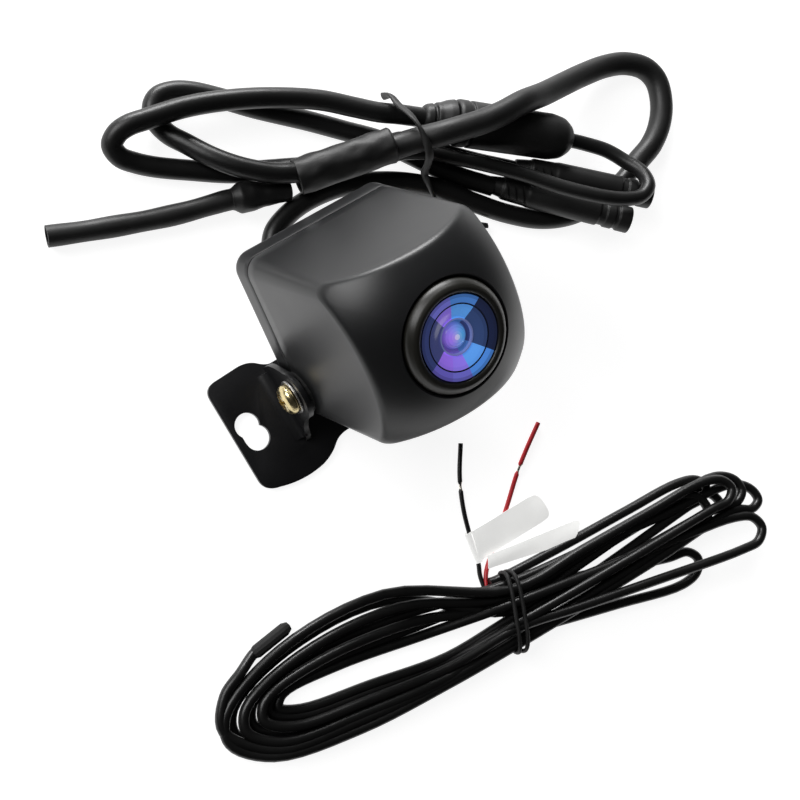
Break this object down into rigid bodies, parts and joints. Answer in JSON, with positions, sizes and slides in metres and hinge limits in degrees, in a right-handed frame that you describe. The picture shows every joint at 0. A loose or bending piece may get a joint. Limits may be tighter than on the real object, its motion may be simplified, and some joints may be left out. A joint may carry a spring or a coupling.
{
  "type": "backup camera",
  "caption": "Square vehicle backup camera on a tilting steel bracket, with a tied wiring harness and a hanked power lead with two labelled wires.",
  "frame": {"origin": "on the back face of the mounting bracket, straight below the tilt axis", "axes": "+Z out of the mounting surface, +X along the tilt axis, +Y up when mounted"},
  "size_m": [0.1452, 0.1342, 0.0472],
  "materials": {
    "bracket_paint": "semi-matte black powder coat over pressed steel",
    "shell": "fine matte black moulding",
    "bezel": "smooth black, satin gloss",
    "barrel": "matte black inside the lens",
    "lens_glass": "polished, blue and violet anti-reflection coating",
    "filter_glass": "polished, pale cyan",
    "seal_rubber": "matte black rubber",
    "yellow_zinc": "yellow zinc plated steel",
    "steel": "bright zinc plated steel",
    "brass": "machined brass",
    "circuit_board": "green solder mask",
    "chip": "black moulded package",
    "header": "natural white moulding",
    "cable_jacket": "satin black flexible jacket",
    "cable_sleeve": "matte black shrink sleeving",
    "connector": "satin black overmoulding",
    "twist_tie": "matte black coated wire",
    "power_jacket": "smooth black jacket",
    "black_insulation": "smooth black insulation",
    "red_insulation": "smooth red insulation",
    "label_film": "translucent white film"
  },
  "bodies": {
    "base": {"mounting_bracket": "bracket_paint", "flat_washer_left": "steel", "flat_washer_right": "steel", "camera_lead_start": "cable_jacket", "camera_lead": "cable_jacket", "sleeved_lead": "cable_sleeve", "junction_sleeve": "cable_sleeve", "module_feed_lead": "cable_jacket", "lower_socket_lead": "cable_jacket", "antenna_sleeve": "cable_sleeve", "antenna_collar": "cable_sleeve", "signal_module": "connector", "module_cap": "connector", "module_lead": "cable_jacket", "upper_socket": "connector", "lower_socket": "connector", "upper_socket_lead": "cable_jacket", "bundle_tie": "twist_tie", "power_lead_hank": "power_jacket", "hank_tie": "twist_tie", "black_wire": "black_insulation", "red_wire": "red_insulation", "black_wire_label": "label_film", "red_wire_label": "label_film", "power_lead_cap": "seal_rubber"},
    "head": {"front_shell": "shell", "rear_cover": "shell", "cover_gasket_upper": "seal_rubber", "cover_gasket_lower": "seal_rubber", "cover_screw_1": "steel", "cover_screw_2": "steel", "cover_screw_3": "steel", "cover_screw_4": "steel", "lens_bezel": "bezel", "bezel_seal": "seal_rubber", "front_lens": "lens_glass", "lens_barrel": "barrel", "second_lens": "lens_glass", "aperture_stop": "barrel", "rear_lens": "lens_glass", "lens_holder": "barrel", "infrared_filter": "filter_glass", "image_sensor": "chip", "sensor_board": "circuit_board", "main_board": "circuit_board", "board_spacer_left": "brass", "board_spacer_right": "brass", "board_screw_left": "steel", "board_screw_right": "steel", "video_processor": "chip", "voltage_regulator": "chip", "lead_header": "header", "cable_gland": "seal_rubber", "tilt_insert_left": "brass", "tilt_insert_right": "brass", "friction_washer_left": "seal_rubber", "friction_washer_right": "seal_rubber"},
    "clamp_screw_left": {"clamp_screw_left": "yellow_zinc"},
    "clamp_screw_right": {"clamp_screw_right": "yellow_zinc"}
  },
  "joints": [
    {"name": "head_tilt", "type": "hinge", "parent": "base", "child": "head", "pos_m": [0, 0, 0.0092], "axis": [1, 0, 0], "range_deg": [-10, 65], "deforming": ["camera_lead_start"]},
    {"name": "clamp_screw_left_turn", "type": "hinge", "parent": "base", "child": "clamp_screw_left", "pos_m": [0, 0, 0.0092], "axis": [1, 0, 0], "continuous": true},
    {"name": "clamp_screw_right_turn", "type": "hinge", "parent": "base", "child": "clamp_screw_right", "pos_m": [0, 0, 0.0092], "axis": [1, 0, 0], "continuous": true}
  ]
}
